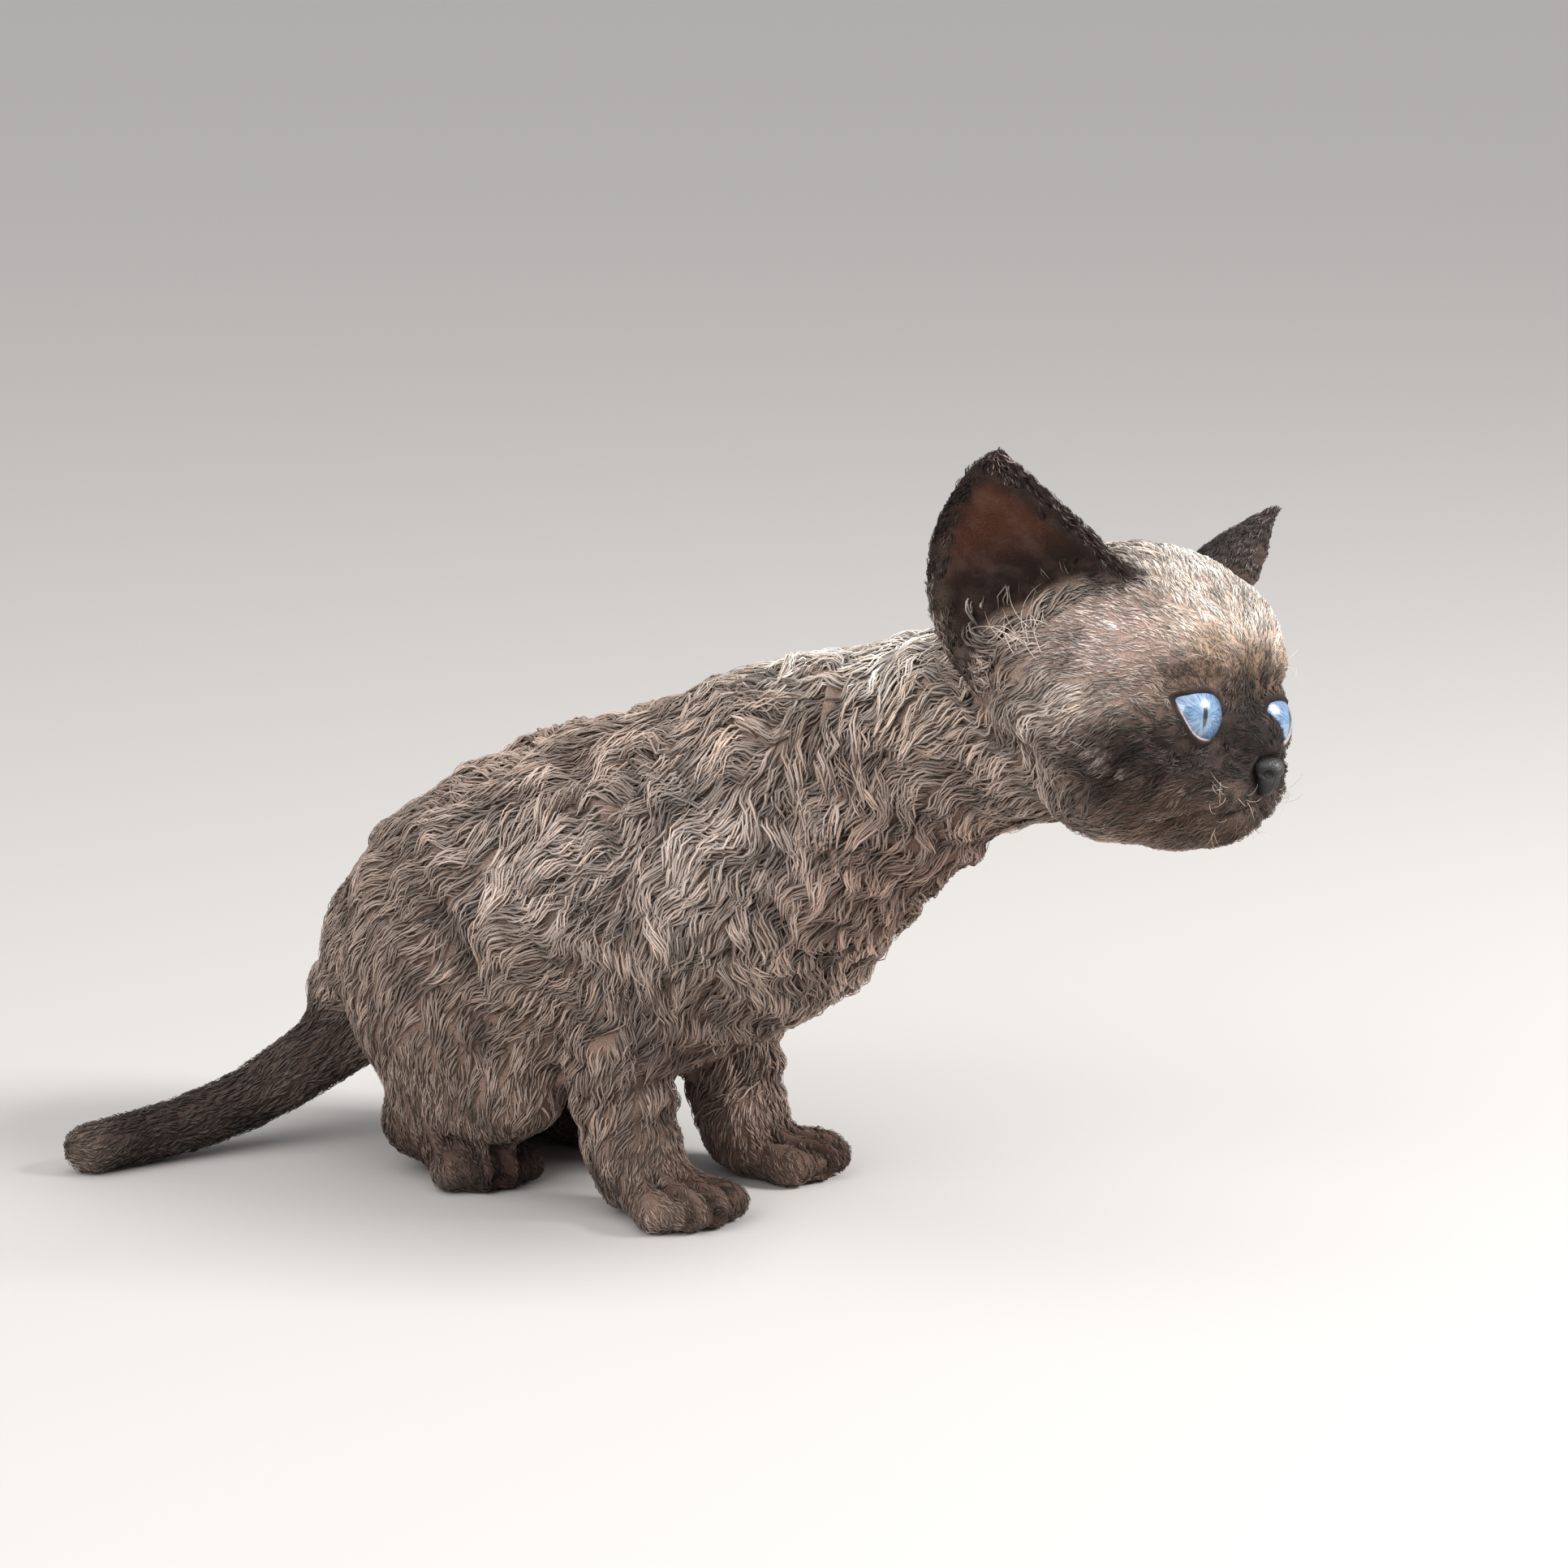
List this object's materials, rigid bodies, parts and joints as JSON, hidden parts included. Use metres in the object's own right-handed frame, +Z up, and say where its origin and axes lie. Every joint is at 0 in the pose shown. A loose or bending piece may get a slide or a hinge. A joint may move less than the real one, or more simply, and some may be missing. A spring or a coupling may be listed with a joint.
{
  "type": "devon rex kitten, still life-size model",
  "caption": "Still life-size model of a seal point Devon Rex kitten, sitting low with its neck stretched forwards, large ears and a curly coat.",
  "frame": {"origin": "bottom centre of the box round the whole kitten, on the floor that its paws and tail rest on", "axes": "+X forwards, from the tail to the nose; +Y to the kitten's left; +Z up"},
  "size_m": [0.2648, 0.1156, 0.1663],
  "materials": {
    "coat_body": "short curly taupe fur",
    "coat_head": "short cream and seal fur",
    "coat_points": "short dark seal fur",
    "eye": "wet and clear",
    "nose": "moist black skin"
  },
  "bodies": {
    "root": {"head": "coat_head", "neck": "coat_body", "chest": "coat_body", "belly": "coat_body", "rump": "coat_body", "foreleg_left": "coat_body", "foreleg_right": "coat_body", "hindleg_left": "coat_body", "hindleg_right": "coat_body", "tail_base": "coat_points", "tail_middle": "coat_points", "tail_tip": "coat_points", "ear_left": "coat_points", "ear_right": "coat_points", "eye_left": "eye", "eye_right": "eye", "nose_leather": "nose"}
  },
  "joints": []
}
